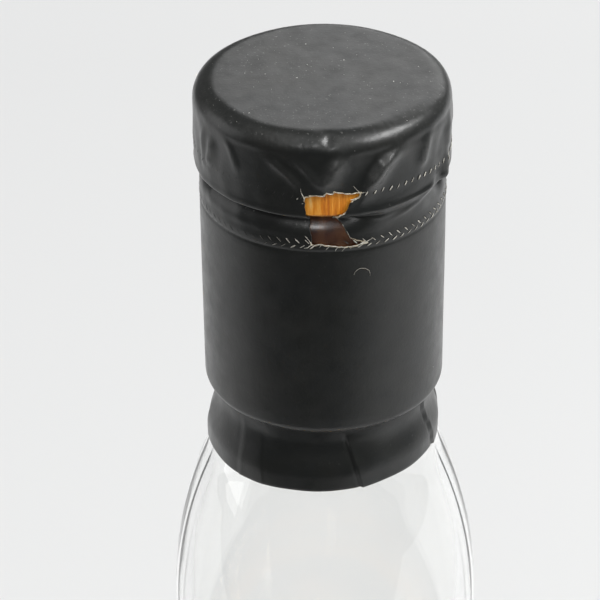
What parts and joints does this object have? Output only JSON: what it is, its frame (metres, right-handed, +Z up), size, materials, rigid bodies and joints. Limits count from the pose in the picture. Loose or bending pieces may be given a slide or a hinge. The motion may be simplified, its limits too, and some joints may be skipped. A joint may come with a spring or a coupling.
{
  "type": "whisky bottle",
  "caption": "Sealed clear glass whisky bottle with round shoulders, swollen neck and a wood-topped cork stopper under a torn black film capsule; stands upright on its base",
  "frame": {"origin": "centre of the base, on the plane the bottle stands on", "axes": "+Z up along the bottle's axis; the torn place in the capsule faces -Y; +X is to the right when it is seen from the front"},
  "size_m": [0.08, 0.08, 0.305],
  "materials": {
    "clear_glass": "clear colourless flint glass, smooth and glossy",
    "whisky": "clear amber liquid",
    "stopper_wood": "orange-brown lacquered wood with pale upright grain",
    "cork": "natural cork, stained brown by the drink",
    "capsule_film": "matte black shrunk film with a soft sheen, folds, perforated tear lines and dust"
  },
  "bodies": {
    "root": {"glass_bottle": "clear_glass", "whisky": "whisky", "stopper_head": "stopper_wood", "stopper_cork": "cork", "capsule": "capsule_film"}
  },
  "joints": []
}
